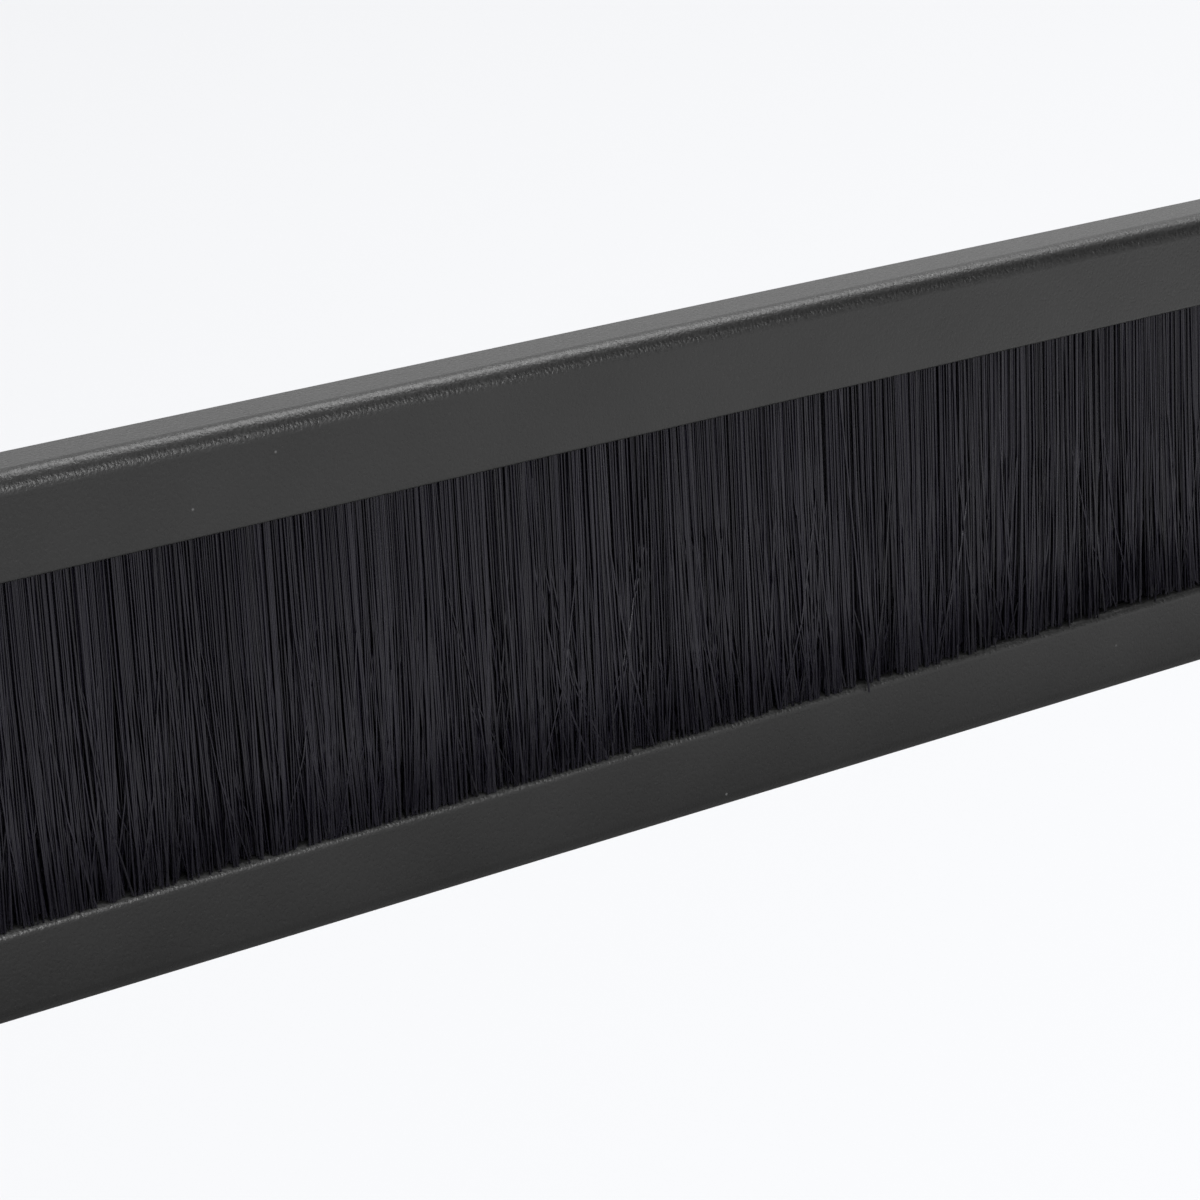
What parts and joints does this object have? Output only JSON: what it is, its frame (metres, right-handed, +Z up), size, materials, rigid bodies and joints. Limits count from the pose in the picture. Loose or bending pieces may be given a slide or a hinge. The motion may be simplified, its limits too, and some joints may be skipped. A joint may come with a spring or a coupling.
{
  "type": "rack brush panel",
  "caption": "Flat folded steel rack panel with slotted ears and a long cable slot closed by a hanging strip brush, for passing cables through a rack front.",
  "frame": {"origin": "centre of the four rack slots, on the rear face of the ears", "axes": "+X along the panel to the right seen from the front, +Y to the rear, into the rack, +Z up"},
  "size_m": [0.4826, 0.0092, 0.0436],
  "materials": {
    "powder_coat": "black fine-texture powder coat on steel",
    "zinc_channel": "galvanised strip steel",
    "steel_wire": "drawn steel wire",
    "nylon": "black nylon filament",
    "zinc_fixing": "zinc-plated steel"
  },
  "bodies": {
    "root": {"front_panel": "powder_coat", "brush_channel": "zinc_channel", "core_wire": "steel_wire", "bristles": "nylon", "left_clamp": "powder_coat", "right_clamp": "powder_coat", "weld_studs": "zinc_fixing", "washers": "zinc_fixing", "hex_nuts": "zinc_fixing"}
  },
  "joints": []
}
